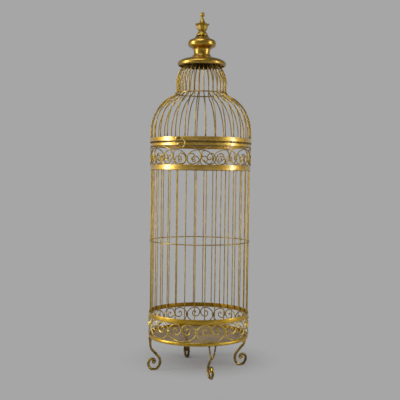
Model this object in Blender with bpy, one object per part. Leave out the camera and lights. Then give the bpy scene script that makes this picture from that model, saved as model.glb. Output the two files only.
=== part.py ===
# Standing birdcage: a tall round wire cage on four scroll feet, with a scroll frieze at its foot and
# another under its rim, and a hinged domed lid that carries a turned finial and a swinging hook.
# Metres, +Z up. The origin is on the ground under the middle of the cage, the latch is at -Y and the
# hinge at +Y. Angles round the cage are counted from the latch towards +X.

import math

import bmesh
import bpy
from mathutils import Matrix, Vector

# Stock and clearances
SEAT_GAP = 0.0003  # between pieces that touch
STRAP_T = 0.0015
BAR_D = 0.0030
RIB_D = 0.0030
RING_D = 0.0030
SCROLL_D = 0.0032
CUT_OVERRUN = 0.0050
MERGE_REACH = 0.0000001  # points nearer than this are one point

# The cage: radius, and heights from the ground up
BODY_R = 0.1515  # outside of the body's straps
FOOT_H = 0.0978
HOOP_H = 0.0100
HOOP_T = 0.0030
HOOP_EDGE_ROUND = 0.0025
LOWER_FRIEZE_H = 0.0535
LOWER_STRAP_H = 0.0135
CAGE_CLEAR_H = 0.4275
UPPER_STRAP_H = 0.0145
UPPER_FRIEZE_H = 0.0550
RIM_STRAP_H = 0.0095
BAR_LAP = 0.0120  # how far a bar runs on behind a strap
MID_RING_SHARE = 0.5

# The lid
LID_STRAP_H = 0.0135
LID_GAP = 0.0025  # from the rim up to the lid's strap, where the ribs' feet show
NECK_R = 0.0797  # outside of the neck ring
NECK_RISE = 0.1515  # from the rim's top edge
NECK_BITE = 0.0012  # how far the ribs sink into the weld at the neck ring
CUPOLA_H = 0.1019
CAP_R = 0.0520
CAP_H = 0.0180

# Mesh floor
NET_PITCH = 0.0300
NET_WIRE = 0.0018
NET_RIM = 0.0035
NET_T = 0.0016
NET_RISE = 0.0008  # above the hoop's lower edge

# Counts and angles
BAR_COUNT = 32
RIB_COUNT = 32
SCROLL_COUNT = 11
FOOT_COUNT = 4
RING_SEGMENTS = 40
NECK_SEGMENTS = 32
TURN_SEGMENTS = 18
SLOT_SEGMENTS = 4
BALL_SEGMENTS = 12
BALL_STEPS = 4
PIN_SIDES = 12
STOCK_SIDES = 6  # of a bar, and of the hexagonal nut
HOOK_EYE_SEGMENTS = 10
HOOK_BALL_SEGMENTS = 8
HOOK_BALL_RINGS = 5
SHARP_EDGE = math.radians(50)
RIB_START = math.radians(3.9)
BAR_START = math.pi / BAR_COUNT
LOWER_FRIEZE_START = math.radians(3.0)
UPPER_FRIEZE_START = math.radians(5.8)
FOOT_START = math.radians(37.3)

# Shape of one scroll: a bowl, a short upright where it is collared to its neighbour, then a curl inward.
# Shares of half the pitch and of the frieze's height.
BOWL_TOP_SHARE = 0.50
EYE_SIDE_SHARE = 0.406
EYE_HEIGHT_SHARE = 0.66
EYE_END_SHARE = 0.068  # size of the curl's end, of its start
CURL_WIDEN_SHARE = 0.14  # how much wider than round the curl starts
CURL_FLATTEN_SHARE = 0.34  # and how much flatter
CURL_START = math.radians(8.15)
CURL_SWEEP = math.radians(528)
CURL_OUTER_POWER = 3
CURL_STEP_POWER = 1.25  # the steps lengthen towards the eye
BOWL_STEPS = 3
CURL_STEPS = 10
COLLAR_H = 0.0050
COLLAR_GROW = 0.0007  # past the wire all round

# Outline of a dome rib: shares of the way out from neck to lid, and of the way up from rim to neck
DOME_SHARES = ((1.0, 0.0), (0.995, 0.299), (0.909, 0.498), (0.720, 0.696), (0.403, 0.865))
# And from cap to neck, and from neck to cap
CUPOLA_SHARES = ((1.0, 0.0), (0.93, 0.40), (0.50, 0.68), (0.0, 0.83), (0.0, 1.0))

# Feet
FOOT_BAR_D = 0.0062
FOOT_FLAT = 0.0004  # ground off the underside of the scroll
FOOT_SWING = 0.0425
FORK_D = 0.0040
FORK_SPREAD = 0.0188  # between the fork's wires at the hoop
# Shares of the swing inwards from the hoop, and of the foot's height
FOOT_SCROLL_SHARES = (
    (0.110, 0.645),
    (0.460, 0.483),
    (0.665, 0.380),
    (0.757, 0.265),
    (0.735, 0.150),
    (0.610, 0.055),
    (0.425, 0.0),
    (0.235, 0.0),
    (0.050, 0.034),
    (-0.085, 0.128),
    (-0.105, 0.235),
    (0.0, 0.312),
    (0.170, 0.335),
    (0.320, 0.305),
    (0.365, 0.250),
    (0.300, 0.207),
    (0.225, 0.235),
)
# Shares of the swing, of the half spread and of the foot's height
FORK_SHARES = ((0.0, 1.0, 1.0), (0.030, 0.65, 0.750), (0.120, 0.26, 0.615))

# Finial: radii and heights above the underside of its brim
SKIRT_WALL = 0.0012
SKIRT_R = 0.0733
SKIRT_H = 0.0310
KNOB_R = 0.0424
KNOB_H = 0.0606
CROWN_R = 0.0209
CROWN_H = 0.0560
BALL_R = 0.0073
ROD_D = 0.0040
NUT_AF = 0.0080
NUT_H = 0.0040
ROD_TAIL = 0.0025
SLOT_H = 0.0022
SLOT_DEPTH = 0.0045
SLOT_SWEEP = math.radians(84)
SLOT_CENTRE = math.radians(-3.6)
# Shares of each piece's own radius and height
SKIRT_SHARES = (
    (0.941, 0.0),
    (0.980, 0.045),
    (1.0, 0.174),
    (0.990, 0.310),
    (0.948, 0.432),
    (0.819, 0.613),
    (0.538, 0.813),
    (0.423, 0.903),
    (0.393, 1.0),
)
KNOB_SHARES = (
    (0.632, 0.0),
    (0.590, 0.053),
    (0.575, 0.116),
    (0.585, 0.215),
    (0.627, 0.314),
    (0.743, 0.383),
    (0.901, 0.436),
    (0.981, 0.505),
    (1.0, 0.589),
    (0.972, 0.680),
    (0.882, 0.762),
    (0.684, 0.825),
    (0.575, 0.871),
    (0.505, 0.924),
    (0.439, 0.974),
    (0.422, 1.0),
)
CROWN_SHARES = (
    (0.833, 0.0),
    (0.823, 0.030),
    (0.780, 0.077),
    (0.632, 0.155),
    (0.488, 0.220),
    (0.507, 0.245),
    (0.641, 0.288),
    (0.756, 0.413),
    (0.813, 0.505),
    (1.0, 0.584),
    (1.0, 0.613),
    (0.584, 0.652),
    (0.421, 0.709),
    (0.282, 0.813),
    (0.201, 0.941),
    (0.187, 1.0),
)

# Hinge
HINGE_W = 0.0200
HINGE_KNUCKLE_R = 0.0028
HINGE_PIN_R = 0.0012
HINGE_HEAD_R = 0.0022
HINGE_HEAD_T = 0.0009
HINGE_STANDOFF = 0.0035  # of the pin, out from the lid's strap
HINGE_LOWER_H = 0.0075
HINGE_UPPER_H = 0.0100
KNUCKLE_SHARE = 0.4  # of the hinge's width, for the middle knuckle

# Latch: places are counted from the hook's pivot
PIVOT_X = -0.0121
PIVOT_RISE = 0.0087  # above the lid strap's lower edge
HOOK_D = 0.0030
HOOK_BALL_R = 0.0021
HOOK_REACH = 0.0252
HOOK_DROP = 0.0265
HOOK_STANDOFF = 0.0032  # of the hook's middle, out from the lid's strap
STUD_SHANK_R = 0.0015
STUD_BASE_R = 0.0030
STUD_HEAD_R = 0.0033
STUD_HEAD_T = 0.0014
KEEPER_X = 0.0075
KEEPER_DROP = 0.0170
KEEPER_HEAD_R = 0.0042
KEEPER_NECK_R = 0.0018
# Shares of the hook's reach and drop
HOOK_SHARES = (
    (0.102, 0.085),
    (0.270, 0.120),
    (0.500, 0.070),
    (0.775, -0.075),
    (0.960, -0.360),
    (1.0, -0.620),
    (0.910, -0.850),
    (0.740, -1.0),
)
# Shares of a stud head's radius and thickness
STUD_HEAD_SHARES = ((1.0, 0.0), (0.94, 0.5), (0.62, 1.0))
AXIS_MARK_SHARE = 0.25  # of the body's radius, for the size of the axis marks

# Worked out from the sizes above
FLAT_SHARE = math.cos(math.pi / RING_SEGMENTS)  # a ring's flats lie this much nearer than its corners
HOOP_Z = FOOT_H
LOWER_FRIEZE_Z = HOOP_Z + HOOP_H
LOWER_STRAP_Z = LOWER_FRIEZE_Z + LOWER_FRIEZE_H
CAGE_Z = LOWER_STRAP_Z + LOWER_STRAP_H
UPPER_STRAP_Z = CAGE_Z + CAGE_CLEAR_H
UPPER_FRIEZE_Z = UPPER_STRAP_Z + UPPER_STRAP_H
RIM_Z = UPPER_FRIEZE_Z + UPPER_FRIEZE_H
RIM_TOP_Z = RIM_Z + RIM_STRAP_H
LID_Z = RIM_TOP_Z + LID_GAP
LID_R = BODY_R + SEAT_GAP / FLAT_SHARE + STRAP_T
NECK_Z = RIM_TOP_Z + NECK_RISE
CAP_TOP_Z = NECK_Z + CUPOLA_H + 2 * SEAT_GAP
HOOP_MID_R = BODY_R - HOOP_T / 2
BAR_R = (BODY_R - STRAP_T) * FLAT_SHARE - SEAT_GAP - BAR_D / 2
RIB_FOOT_R = (LID_R - STRAP_T) * FLAT_SHARE - SEAT_GAP - RIB_D / 2
RIB_FOOT_Z = RIM_TOP_Z + SEAT_GAP
NECK_RING_R = NECK_R - RING_D / 2
RIB_NECK_R = NECK_RING_R - RING_D / 2 - RIB_D / 2 + NECK_BITE
RIB_TOP_R = CAP_R + SEAT_GAP + RIB_D / 2
PIN_Y = LID_R + HINGE_STANDOFF
PIN_Z = LID_Z - SEAT_GAP
PIVOT_Z = LID_Z + PIVOT_RISE
HOOK_Y = -(LID_R + HOOK_STANDOFF)


def around(radius, angle, z):
    """A point at this angle round the cage, counted from the latch towards +X."""
    return Vector((radius * math.sin(angle), -radius * math.cos(angle), z))


def clear_scene():
    for old in list(bpy.data.objects):
        bpy.data.objects.remove(old, do_unlink=True)


def metal(name, color, roughness):
    """A gilt metal of this colour."""
    made = bpy.data.materials.new(name)
    made.use_nodes = True
    shader = made.node_tree.nodes["Principled BSDF"]
    shader.inputs["Base Color"].default_value = (*color, 1.0)
    shader.inputs["Metallic"].default_value = 1.0
    shader.inputs["Roughness"].default_value = roughness
    return made


def mesh_of(bm, name):
    """The bmesh as a closed mesh whose faces point out."""
    bmesh.ops.remove_doubles(bm, verts=bm.verts, dist=MERGE_REACH)
    bmesh.ops.recalc_face_normals(bm, faces=bm.faces)
    mesh = bpy.data.meshes.new(name)
    bm.to_mesh(mesh)
    bm.free()
    return mesh


def add(name, mesh, material, parent=None, turn=0.0):
    """An object for this mesh, smooth but for its sharp edges."""
    mesh.materials.clear()
    mesh.materials.append(material)
    mesh.shade_smooth()
    mesh.set_sharp_from_angle(angle=SHARP_EDGE)
    made = bpy.data.objects.new(name, mesh)
    bpy.context.collection.objects.link(made)
    made.rotation_euler.z = turn
    if parent:
        made.parent = parent
        made.matrix_parent_inverse = parent.matrix_world.inverted()
    return made


def pivot_empty(name, place, parent=None):
    made = bpy.data.objects.new(name, None)
    made.empty_display_size = BODY_R * AXIS_MARK_SHARE
    bpy.context.collection.objects.link(made)
    made.location = place
    bpy.context.view_layer.update()
    if parent:
        made.parent = parent
        made.matrix_parent_inverse = parent.matrix_world.inverted()
        bpy.context.view_layer.update()
    return made


def turned(profile, segments, name="turned", sweep=2 * math.pi, start=0.0):
    """The outline of radii and heights, turned about Z. One that starts on the axis also ends there."""
    bm = bmesh.new()
    points = [bm.verts.new(around(radius, start, z)) for radius, z in profile]
    on_axis = profile[0][0] == 0
    edges = [bm.edges.new(pair) for pair in zip(points, points[1:])]
    whole = sweep == 2 * math.pi
    if not on_axis:
        edges.append(bm.edges.new((points[-1], points[0])))
    ends = [] if whole else [bm.faces.new(points)]
    bmesh.ops.spin(bm, geom=points + edges + ends, axis=(0, 0, 1), cent=(0, 0, 0), angle=sweep,
                   steps=segments, use_merge=whole)
    if on_axis:
        bmesh.ops.remove_doubles(bm, verts=bm.verts, dist=MERGE_REACH)
        bmesh.ops.dissolve_degenerate(bm, edges=bm.edges, dist=MERGE_REACH)
    if not whole:
        bmesh.ops.holes_fill(bm, edges=[edge for edge in bm.edges if edge.is_boundary], sides=0)
    return mesh_of(bm, name)


def band(outer_r, wall, low, high, name):
    """A flat strap rolled into a ring."""
    inner_r = outer_r - wall
    return turned(((inner_r, low), (outer_r, low), (outer_r, high), (inner_r, high)), RING_SEGMENTS, name)


def moved(mesh, matrix):
    mesh.transform(matrix)
    if matrix.determinant() < 0:
        mesh.flip_normals()
    return mesh


def wire(points, diameter, roundness, name="wire", cyclic=False):
    """Round wire bent along these points. It has 4 sides, and 2 more for each step of roundness."""
    curve = bpy.data.curves.new(name, "CURVE")
    curve.dimensions = "3D"
    curve.bevel_depth = diameter / 2
    curve.bevel_resolution = roundness
    curve.use_fill_caps = True
    spline = curve.splines.new("POLY")
    spline.points.add(len(points) - 1)
    for place, point in zip(spline.points, points):
        place.co = (*point, 1.0)
    spline.use_cyclic_u = cyclic
    helper = bpy.data.objects.new(name, curve)
    bpy.context.collection.objects.link(helper)
    bpy.context.view_layer.update()
    graph = bpy.context.evaluated_depsgraph_get()
    bent = bpy.data.meshes.new_from_object(helper.evaluated_get(graph))
    bpy.data.objects.remove(helper, do_unlink=True)
    bm = bmesh.new()
    bm.from_mesh(bent)
    return mesh_of(bm, name)


def ring_wire(radius, z, diameter, segments, roundness, name):
    """Wire bent into a ring, welded to itself."""
    points = [around(radius, 2 * math.pi * i / segments, z) for i in range(segments)]
    return wire(points, diameter, roundness, name, cyclic=True)


def block(low, high, name="block"):
    """A rectangular block between two corners."""
    bm = bmesh.new()
    bmesh.ops.create_cube(bm, size=1.0)
    middle = (Vector(low) + Vector(high)) / 2
    sides = Vector(high) - Vector(low)
    bmesh.ops.scale(bm, vec=sides, verts=bm.verts)
    bmesh.ops.translate(bm, vec=middle, verts=bm.verts)
    return mesh_of(bm, name)


def prism(outline, run, name="prism"):
    """A flat outline, extruded along a run."""
    bm = bmesh.new()
    face = bm.faces.new([bm.verts.new(point) for point in outline])
    grown = bmesh.ops.extrude_face_region(bm, geom=[face])["geom"]
    verts = [item for item in grown if isinstance(item, bmesh.types.BMVert)]
    bmesh.ops.translate(bm, vec=run, verts=verts)
    return mesh_of(bm, name)


def rod(radius, length, segments, name="rod"):
    """A round rod, or a hexagonal one with 6 segments, centred on the origin along Z."""
    bm = bmesh.new()
    bmesh.ops.create_cone(bm, cap_ends=True, cap_tris=False, segments=segments, radius1=radius,
                          radius2=radius, depth=length)
    return mesh_of(bm, name)


def along_x(mesh, place):
    return moved(mesh, Matrix.Translation(place) @ Matrix.Rotation(math.pi / 2, 4, "Y"))


def facing_front(mesh, place):
    """Turns a piece made along Z so that it points out of the cage at the latch."""
    return moved(mesh, Matrix.Translation(place) @ Matrix.Rotation(math.pi / 2, 4, "X"))


def combined(first, others, operation, name):
    """One mesh from the first and each of the others, by a Boolean."""
    if not others:
        return first
    group = bpy.data.collections.new(name)
    bpy.context.scene.collection.children.link(group)
    base = bpy.data.objects.new(name, first)
    bpy.context.collection.objects.link(base)
    helpers = [bpy.data.objects.new(name, mesh) for mesh in others]
    for helper in helpers:
        group.objects.link(helper)
    cut = base.modifiers.new(name, "BOOLEAN")
    cut.operation = operation
    cut.operand_type = "COLLECTION"
    cut.collection = group
    cut.solver = "EXACT"
    bpy.context.view_layer.update()
    graph = bpy.context.evaluated_depsgraph_get()
    result = bpy.data.meshes.new_from_object(base.evaluated_get(graph))
    for helper in [base, *helpers]:
        bpy.data.objects.remove(helper, do_unlink=True)
    bpy.data.collections.remove(group)
    bm = bmesh.new()
    bm.from_mesh(result)
    return mesh_of(bm, name)


def gathered(meshes, name="gathered"):
    """Separate closed shapes in one mesh, to cut with."""
    bm = bmesh.new()
    for mesh in meshes:
        bm.from_mesh(mesh)
    return mesh_of(bm, name)


def welded(meshes, name):
    """The pieces joined into one body."""
    return combined(meshes[0], meshes[1:], "UNION", name)


def cut_from(mesh, cutters, name):
    return combined(mesh, cutters, "DIFFERENCE", name)


def build_hoop(material):
    """The base hoop is a half-oval bar, with its round side out."""
    low, high = HOOP_Z, HOOP_Z + HOOP_H
    inner, shoulder = BODY_R - HOOP_T, BODY_R - HOOP_T / 2
    outline = ((inner, low), (shoulder, low), (BODY_R, low + HOOP_EDGE_ROUND),
               (BODY_R, high - HOOP_EDGE_ROUND), (shoulder, high), (inner, high))
    add("base_hoop", turned(outline, RING_SEGMENTS), material)


def build_floor(material):
    """Welded wire mesh, cut round and framed by a flat rim that seats inside the hoop."""
    rim_r = BODY_R - HOOP_T - SEAT_GAP / FLAT_SHARE
    inside = rim_r - NET_RIM
    middle = Matrix.Translation((0, 0, HOOP_Z + NET_RISE + NET_T / 2))
    count = math.ceil(inside / NET_PITCH)
    side = NET_PITCH - NET_WIRE
    deep = NET_T + CUT_OVERRUN
    gaps = []
    for i in range(-count, count):
        for j in range(-count, count):
            x, y = (i + 0.5) * NET_PITCH, (j + 0.5) * NET_PITCH
            nearest = math.hypot(abs(x) - side / 2, abs(y) - side / 2)
            if nearest < inside - 2 * NET_WIRE:
                low = (x - side / 2, y - side / 2, -deep / 2)
                high = (x + side / 2, y + side / 2, deep / 2)
                gaps.append(block(low, high))
    round_r = inside / math.cos(math.pi / RING_SEGMENTS)
    openings = combined(rod(round_r, deep, RING_SEGMENTS, "gaps"), [gathered(gaps)], "INTERSECT", "gaps")
    net = cut_from(rod(rim_r, NET_T, RING_SEGMENTS, "net"), [openings], "mesh_floor")
    add("mesh_floor", moved(net, middle @ Matrix.Rotation(-math.pi / 2, 4, "Z")), material)


def curl_points():
    """The curl of a scroll: sideways from its eye in shares of half the pitch, and upwards in its own."""
    widest = (1 + CURL_WIDEN_SHARE) * math.cos(CURL_START)
    points = []
    for i in range(CURL_STEPS + 1):
        t = (i / CURL_STEPS) ** CURL_STEP_POWER
        size = EYE_END_SHARE + (1 - EYE_END_SHARE) * (1 - t)
        outer = (1 - t) ** CURL_OUTER_POWER
        turn = CURL_SWEEP * t - CURL_START
        side = (1 - EYE_SIDE_SHARE) / widest * size * (1 + CURL_WIDEN_SHARE * outer) * math.cos(turn)
        points.append((side, size * (1 - CURL_FLATTEN_SHARE * outer) * math.sin(turn)))
    return points


def scroll_half():
    """Half a scroll, from the middle of its bowl to its eye, and the height of the collar on its upright."""
    bowl = []
    for i in range(BOWL_STEPS + 1):
        turn = math.pi / 2 * i / BOWL_STEPS
        bowl.append((math.sin(turn), BOWL_TOP_SHARE * (1 - math.cos(turn))))
    curl = curl_points()
    crest = max(up for side, up in curl)
    grow = (1 - EYE_HEIGHT_SHARE) / crest
    curl = [(EYE_SIDE_SHARE + side, EYE_HEIGHT_SHARE + grow * up) for side, up in curl]
    return bowl + curl, (bowl[-1][1] + curl[0][1]) / 2


def build_frieze(name, low, tall, start, upright, material):
    """A ring of double scrolls between two straps, collared to each other where they meet."""
    radius = BODY_R - STRAP_T / 2
    half_pitch = math.pi / SCROLL_COUNT
    side_room = half_pitch - (SCROLL_D / 2 + SEAT_GAP) / radius
    bottom = low + SCROLL_D / 2 + SEAT_GAP
    height = tall - SCROLL_D - 2 * SEAT_GAP
    half, touch = scroll_half()
    pieces = []
    for unit in range(SCROLL_COUNT):
        middle = start + 2 * half_pitch * unit
        left = [(middle - side * side_room, up) for side, up in reversed(half)]
        right = [(middle + side * side_room, up) for side, up in half[1:]]
        run = []
        for angle, up in left + right:
            share = up if upright else 1 - up
            run.append(around(radius, angle, bottom + share * height))
        pieces.append(wire(run, SCROLL_D, 0))
    collar_z = bottom + height * (touch if upright else 1 - touch)
    half_w = SCROLL_D + SEAT_GAP + COLLAR_GROW
    half_t = SCROLL_D / 2 + COLLAR_GROW
    for unit in range(SCROLL_COUNT):
        meet = start + 2 * half_pitch * (unit + 0.5)
        collar = block((-half_w, -half_t, -COLLAR_H / 2), (half_w, half_t, COLLAR_H / 2))
        place = Matrix.Translation(around(radius, meet, collar_z))
        pieces.append(moved(collar, place @ Matrix.Rotation(meet, 4, "Z")))
    add(name, welded(pieces, name), material)


def build_bars(material):
    low = CAGE_Z - BAR_LAP
    high = UPPER_STRAP_Z + BAR_LAP
    bar = rod(BAR_D / 2, high - low, STOCK_SIDES, "bar")
    for i in range(BAR_COUNT):
        angle = BAR_START + 2 * math.pi * i / BAR_COUNT
        made = add(f"bar_{i + 1:02d}", bar, material, turn=angle)
        made.location = around(BAR_R, angle, (low + high) / 2)


def foot_point(sideways, inward, up):
    """A point of the foot in front, from its distance sideways and its shares of swing and height."""
    lowest = FOOT_BAR_D / 2 - FOOT_FLAT
    rise = FOOT_H - SEAT_GAP - lowest
    return Vector((sideways, FOOT_SWING * inward - HOOP_MID_R, lowest + rise * up))


def build_foot_mesh():
    """A scroll bent from round bar, hung from a fork of two wires, with a flat where it stands."""
    pieces = [wire([foot_point(0, inward, up) for inward, up in FOOT_SCROLL_SHARES], FOOT_BAR_D, 1)]
    for side in (-1, 1):
        half_spread = side * FORK_SPREAD / 2
        prong = [foot_point(half_spread * spread, inward, up) for inward, spread, up in FORK_SHARES]
        pieces.append(wire(prong, FORK_D, 1))
    joined = welded(pieces, "foot")
    bm = bmesh.new()
    bm.from_mesh(joined)
    for level, outward in ((0, -1), (FOOT_H - SEAT_GAP, 1)):
        bmesh.ops.bisect_plane(bm, geom=bm.verts[:] + bm.edges[:] + bm.faces[:], plane_co=(0, 0, level),
                               plane_no=(0, 0, outward), clear_outer=True)
        bmesh.ops.holes_fill(bm, edges=[edge for edge in bm.edges if edge.is_boundary], sides=0)
    return mesh_of(bm, "foot")


def build_feet(material):
    foot = build_foot_mesh()
    for i in range(FOOT_COUNT):
        add(f"foot_{i + 1}", foot, material, turn=FOOT_START + 2 * math.pi * i / FOOT_COUNT)


def rib_outline():
    """Radii and heights of a rib, from the lid's strap over the dome and up the cupola to the cap."""
    dome = [(RIB_NECK_R + (RIB_FOOT_R - RIB_NECK_R) * out, RIB_FOOT_Z + (NECK_Z - RIB_FOOT_Z) * up)
            for out, up in DOME_SHARES]
    cupola = [(RIB_TOP_R + (RIB_NECK_R - RIB_TOP_R) * out, NECK_Z + (CUPOLA_H - SKIRT_WALL) * up)
              for out, up in CUPOLA_SHARES]
    return dome + cupola


def build_ribs(material, lid):
    """All the ribs, each welded inside the neck ring."""
    pieces = [ring_wire(NECK_RING_R, NECK_Z, RING_D, NECK_SEGMENTS, 0, "neck")]
    for i in range(RIB_COUNT):
        angle = RIB_START + 2 * math.pi * i / RIB_COUNT
        pieces.append(wire([around(radius, angle, z) for radius, z in rib_outline()], RIB_D, 0))
    add("dome_ribs", welded(pieces, "dome_ribs"), material, lid)


def skirt_outline():
    base = CAP_TOP_Z + SEAT_GAP - skirt_rise(CAP_R) + SKIRT_WALL
    return [(SKIRT_R * out, base + SKIRT_H * up) for out, up in SKIRT_SHARES]


def skirt_rise(radius):
    """Height of the brim's upper side over its underside, at this radius on its slope."""
    points = [(SKIRT_R * out, SKIRT_H * up) for out, up in SKIRT_SHARES]
    for (far, low), (near, high) in zip(points, points[1:]):
        if near <= radius <= far:
            return low + (high - low) * (far - radius) / (far - near)
    return SKIRT_H


def inset_line(points, wall):
    """The same line a wall's thickness further in."""
    made = []
    for i, (radius, z) in enumerate(points):
        before = points[max(i - 1, 0)]
        after = points[min(i + 1, len(points) - 1)]
        run = Vector((after[0] - before[0], after[1] - before[1])).normalized()
        made.append((radius - run.y * wall, z + run.x * wall))
    return made


def build_finial(material, dark, lid):
    """Rib cap, spun skirt, turned knob, crown and ball, all drawn together by one rod and its nut."""
    bore = ROD_D / 2 + SEAT_GAP
    cap_low = CAP_TOP_Z - CAP_H
    under = CAP_TOP_Z - STRAP_T
    cap = ((bore, under), (CAP_R - STRAP_T, under), (CAP_R - STRAP_T, cap_low), (CAP_R, cap_low),
           (CAP_R, CAP_TOP_Z), (bore, CAP_TOP_Z))
    add("rib_cap", turned(cap, TURN_SEGMENTS), dark, lid)

    outer = skirt_outline()
    deck_z = outer[-1][1]
    inner = inset_line(outer[1:-1], SKIRT_WALL)
    under_deck = deck_z - SKIRT_WALL
    deck = [(bore, deck_z), (bore, under_deck), (outer[-1][0] - SKIRT_WALL, under_deck)]
    add("finial_skirt", turned(outer + deck + list(reversed(inner)), TURN_SEGMENTS), material, lid)

    knob_z = deck_z + SEAT_GAP
    knob = [(bore, knob_z)] + [(KNOB_R * out, knob_z + KNOB_H * up) for out, up in KNOB_SHARES]
    knob.append((bore, knob_z + KNOB_H))
    add("finial_knob", turned(knob, TURN_SEGMENTS), material, lid)

    crown_z = knob_z + KNOB_H + SEAT_GAP
    crown = [(bore, crown_z)] + [(CROWN_R * out, crown_z + CROWN_H * up) for out, up in CROWN_SHARES]
    crown.append((bore, crown_z + CROWN_H))
    foot_r = CROWN_R * CROWN_SHARES[0][0]
    slot = ((foot_r - SLOT_DEPTH, crown_z - CUT_OVERRUN), (foot_r + CUT_OVERRUN, crown_z - CUT_OVERRUN),
            (foot_r + CUT_OVERRUN, crown_z + SLOT_H), (foot_r - SLOT_DEPTH, crown_z + SLOT_H))
    cutter = turned(slot, SLOT_SEGMENTS, "slot", SLOT_SWEEP, SLOT_CENTRE - SLOT_SWEEP / 2)
    crown_mesh = cut_from(turned(crown, TURN_SEGMENTS), [cutter], "crown")
    add("finial_crown", crown_mesh, material, lid)

    spire_top = crown_z + CROWN_H
    middle = spire_top + SEAT_GAP + math.sqrt(BALL_R ** 2 - (CROWN_R * CROWN_SHARES[-1][0]) ** 2)
    rod_top = middle
    first = math.asin(CROWN_R * CROWN_SHARES[-1][0] / BALL_R)
    ball = [(0, rod_top + SEAT_GAP), (bore, rod_top + SEAT_GAP), (bore, spire_top + SEAT_GAP)]
    for i in range(BALL_STEPS):
        turn = first + (math.pi - first) * i / BALL_STEPS
        ball.append((BALL_R * math.sin(turn), middle - BALL_R * math.cos(turn)))
    ball.append((0, middle + BALL_R))
    add("finial_ball", turned(ball, BALL_SEGMENTS), material, lid)

    nut_top = under - SEAT_GAP
    rod_low = nut_top - NUT_H - ROD_TAIL
    shaft = ((0, rod_low), (ROD_D / 2, rod_low), (ROD_D / 2, rod_top), (0, rod_top))
    add("tie_rod", turned(shaft, PIN_SIDES), dark, lid)
    blank = rod(NUT_AF / 2 / math.cos(math.pi / STOCK_SIDES), NUT_H, STOCK_SIDES)
    nut = cut_from(blank, [rod(bore, NUT_H + CUT_OVERRUN, PIN_SIDES)], "nut")
    add("tie_nut", moved(nut, Matrix.Translation((0, 0, nut_top - NUT_H / 2))), dark, lid)


def hinge_bore():
    return along_x(rod(HINGE_PIN_R + SEAT_GAP, HINGE_W + CUT_OVERRUN, PIN_SIDES), (0, PIN_Y, PIN_Z))


def build_hinge(material, lid):
    """A butt hinge behind the lid: the body's leaf has two knuckles, the lid's has the one between."""
    half = HINGE_W / 2
    middle = HINGE_W * KNUCKLE_SHARE / 2
    face = BODY_R + SEAT_GAP
    foot_z = RIM_Z + STRAP_T
    top_z = foot_z + HINGE_LOWER_H
    web = ((face, top_z), (face, foot_z + STRAP_T), (face + STRAP_T, foot_z + STRAP_T),
           (PIN_Y + HINGE_KNUCKLE_R / 2, PIN_Z - HINGE_KNUCKLE_R / 2),
           (PIN_Y - HINGE_KNUCKLE_R / 2, PIN_Z - HINGE_KNUCKLE_R / 2))
    pieces = [block((-half, face, foot_z), (half, face + STRAP_T, top_z))]
    for low, high in ((-half, -middle - SEAT_GAP / 2), (middle + SEAT_GAP / 2, half)):
        pieces.append(prism([(low, y, z) for y, z in web], (high - low, 0, 0)))
        pieces.append(along_x(rod(HINGE_KNUCKLE_R, high - low, PIN_SIDES), ((low + high) / 2, PIN_Y, PIN_Z)))
    lower = cut_from(welded(pieces, "lower_leaf"), [hinge_bore()], "lower_leaf")
    add("hinge_lower_leaf", lower, material)

    face = LID_R + SEAT_GAP
    low_z = PIN_Z + HINGE_KNUCKLE_R + SEAT_GAP
    inner = middle - SEAT_GAP / 2
    top_z = low_z + HINGE_UPPER_H
    leaf = ((-half, top_z), (-half, low_z), (-inner, low_z), (-inner, PIN_Z), (inner, PIN_Z), (inner, low_z),
            (half, low_z), (half, top_z))
    knuckle = along_x(rod(HINGE_KNUCKLE_R, 2 * inner + SEAT_GAP / 2, PIN_SIDES), (0, PIN_Y, PIN_Z))
    pieces = [prism([(x, face, z) for x, z in leaf], (0, STRAP_T, 0)), knuckle]
    upper = cut_from(welded(pieces, "upper_leaf"), [hinge_bore()], "upper_leaf")
    add("hinge_upper_leaf", upper, material, lid)

    end = half + SEAT_GAP
    pin = ((0, -end - HINGE_HEAD_T), (HINGE_HEAD_R, -end - HINGE_HEAD_T), (HINGE_HEAD_R, -end),
           (HINGE_PIN_R, -end), (HINGE_PIN_R, end), (HINGE_HEAD_R, end),
           (HINGE_HEAD_R, end + HINGE_HEAD_T), (0, end + HINGE_HEAD_T))
    add("hinge_pin", along_x(turned(pin, PIN_SIDES), (0, PIN_Y, PIN_Z)), material)


def stud(seat, neck_from, neck_to, base_r, neck_r, head_r):
    """A turned stud along Z: a base on its seat, a neck and a domed head."""
    shank = [(0, seat), (base_r, seat), (base_r, neck_from), (neck_r, neck_from), (neck_r, neck_to)]
    head = [(head_r * out, neck_to + STUD_HEAD_T * up) for out, up in STUD_HEAD_SHARES]
    return turned([*shank, *head, (0, head[-1][1])], PIN_SIDES)


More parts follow.
